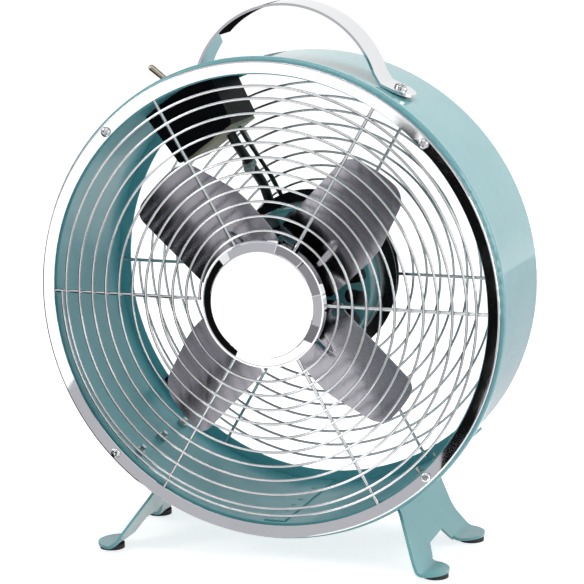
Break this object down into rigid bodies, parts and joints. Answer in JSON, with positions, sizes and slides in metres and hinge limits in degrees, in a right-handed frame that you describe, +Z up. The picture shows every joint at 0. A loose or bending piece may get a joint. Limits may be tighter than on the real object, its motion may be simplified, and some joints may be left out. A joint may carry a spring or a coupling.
{
  "type": "drum table fan",
  "caption": "Drum fan on two sheet-metal feet, with wire grilles, twisted-blade impeller, motor, carrying handle and toggle switch.",
  "frame": {"origin": "on the floor under the middle of the fan's bounding box", "axes": "+Z up, +Y from the front grille towards the motor and the back grille, +X to the right as seen from the front"},
  "size_m": [0.274, 0.1148, 0.3127],
  "materials": {
    "paint": "gloss",
    "chrome": "polished",
    "steel": "bright",
    "aluminium": "polished",
    "black_plastic": "satin",
    "nickel": "satin nickel",
    "rubber": "matt",
    "board": "matt",
    "motor_iron": "ground",
    "copper": "enamelled",
    "black_metal": "satin",
    "sleeving": "satin",
    "nylon": "translucent"
  },
  "bodies": {
    "housing": {"drum_shell": "paint", "front_ring": "chrome", "front_ring_screws": "chrome", "front_spokes": "chrome", "front_spiral": "chrome", "back_spokes": "chrome", "back_spiral": "chrome", "badge_cap": "chrome", "badge_carrier": "black_plastic", "back_hub_plate": "chrome", "back_wire_clip": "black_plastic", "stator_stack": "motor_iron", "stator_windings": "copper", "motor_front_cap": "paint", "motor_back_cover": "black_metal", "front_bearing": "steel", "back_bearing": "steel", "motor_bolts": "steel", "motor_nuts": "steel", "handle_strap": "chrome", "handle_screws": "chrome", "handle_nuts": "steel", "handle_washers": "rubber", "right_foot": "paint", "left_foot": "paint", "foot_screws": "steel", "foot_nuts": "steel", "foot_rubbers": "rubber", "switch_box": "black_plastic", "switch_box_cover": "board", "terminal_block": "nylon", "toggle_switch_body": "nickel", "toggle_nuts": "nickel", "motor_lead_sleeve": "sleeving", "earth_lead": "sleeving", "cable_tie": "nylon", "cord_gland": "black_plastic"},
    "impeller": {"fan_blades": "aluminium", "impeller_collar": "steel", "impeller_rivets": "aluminium", "collar_grub_screw": "steel", "impeller_nut": "steel", "motor_shaft": "steel", "rotor": "motor_iron", "shaft_spacers": "steel"},
    "toggle": {"toggle_lever": "nickel"}
  },
  "joints": [
    {"name": "impeller_spin", "type": "hinge", "parent": "housing", "child": "impeller", "pos_m": [0, 0.00513, 0.15], "axis": [0, 1, 0], "continuous": true},
    {"name": "toggle_throw", "type": "hinge", "parent": "housing", "child": "toggle", "pos_m": [-0.07499, 0.02913, 0.25435], "axis": [0, 1, 0], "range_deg": [0, 34]}
  ]
}
